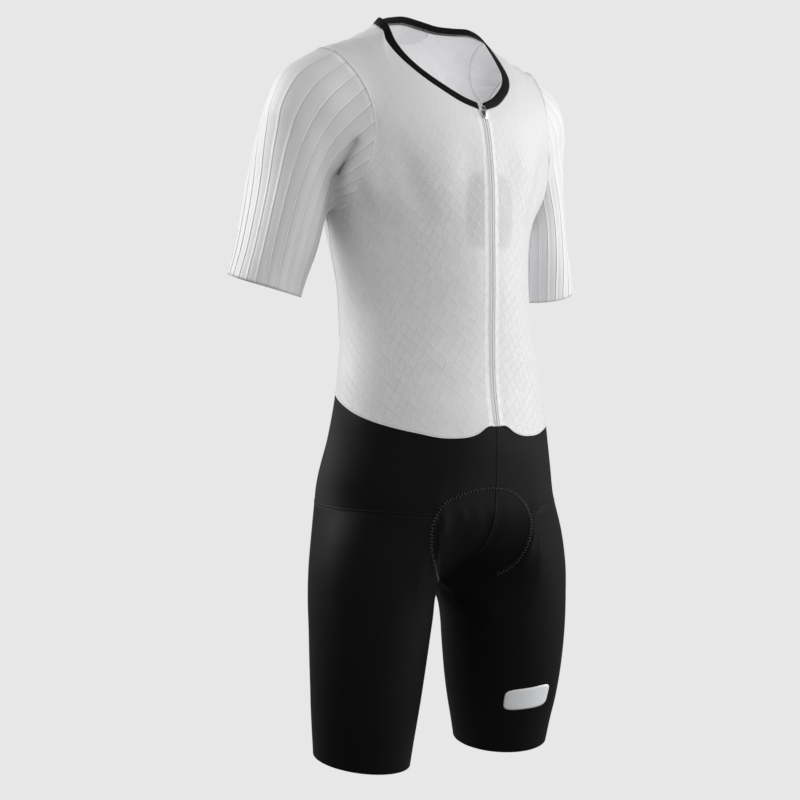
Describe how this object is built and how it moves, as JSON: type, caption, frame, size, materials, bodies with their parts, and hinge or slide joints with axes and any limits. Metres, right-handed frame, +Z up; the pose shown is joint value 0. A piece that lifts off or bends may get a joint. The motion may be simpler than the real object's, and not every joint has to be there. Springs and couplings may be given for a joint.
{
  "type": "cycling skinsuit",
  "caption": "Short-sleeved one-piece stretch suit for cycling, with a full front zip, bound neck, ribbed sleeves, dark shorts and a seat pad, hollow as worn.",
  "frame": {"origin": "middle of the neck base, level with the tops of the shoulders, where the wearer's shoulders hold the suit up", "axes": "+Z up, -Y out of the front, +X towards the wearer's left side"},
  "size_m": [0.5078, 0.2515, 0.9212],
  "materials": {
    "check_knit": "fine semi-sheer checked knit, satin",
    "ribbed_knit": "ribbed knit, satin",
    "black_knit": "tight warp knit with a soft sheen",
    "binding": "soft folded elastic, matt",
    "zip_tape": "woven tape with a plastic coil",
    "zip_metal": "cast and tumbled",
    "facing": "plain knit, matt",
    "pad_foam": "laminated foam, matt",
    "bonded_film": "heat-bonded film, satin"
  },
  "bodies": {
    "garment": {"back": "check_knit", "front_left": "check_knit", "front_right": "check_knit", "sleeve_left": "ribbed_knit", "sleeve_right": "ribbed_knit", "yoke_left": "black_knit", "yoke_right": "black_knit", "leg_left": "black_knit", "leg_right": "black_knit", "leg_tab": "bonded_film", "seat_pad": "pad_foam", "collar_left": "binding", "collar_right": "binding", "collar_back": "binding", "neck_facing": "facing", "zip_tape_left": "zip_tape", "zip_tape_right": "zip_tape", "zip_slider": "zip_metal"},
    "pull": {"zip_pull": "zip_metal"}
  },
  "joints": [
    {"name": "pull_swing", "type": "hinge", "parent": "garment", "child": "pull", "pos_m": [0, -0.0936, -0.1189], "axis": [1, 0, 0], "range_deg": [0, 175]}
  ]
}
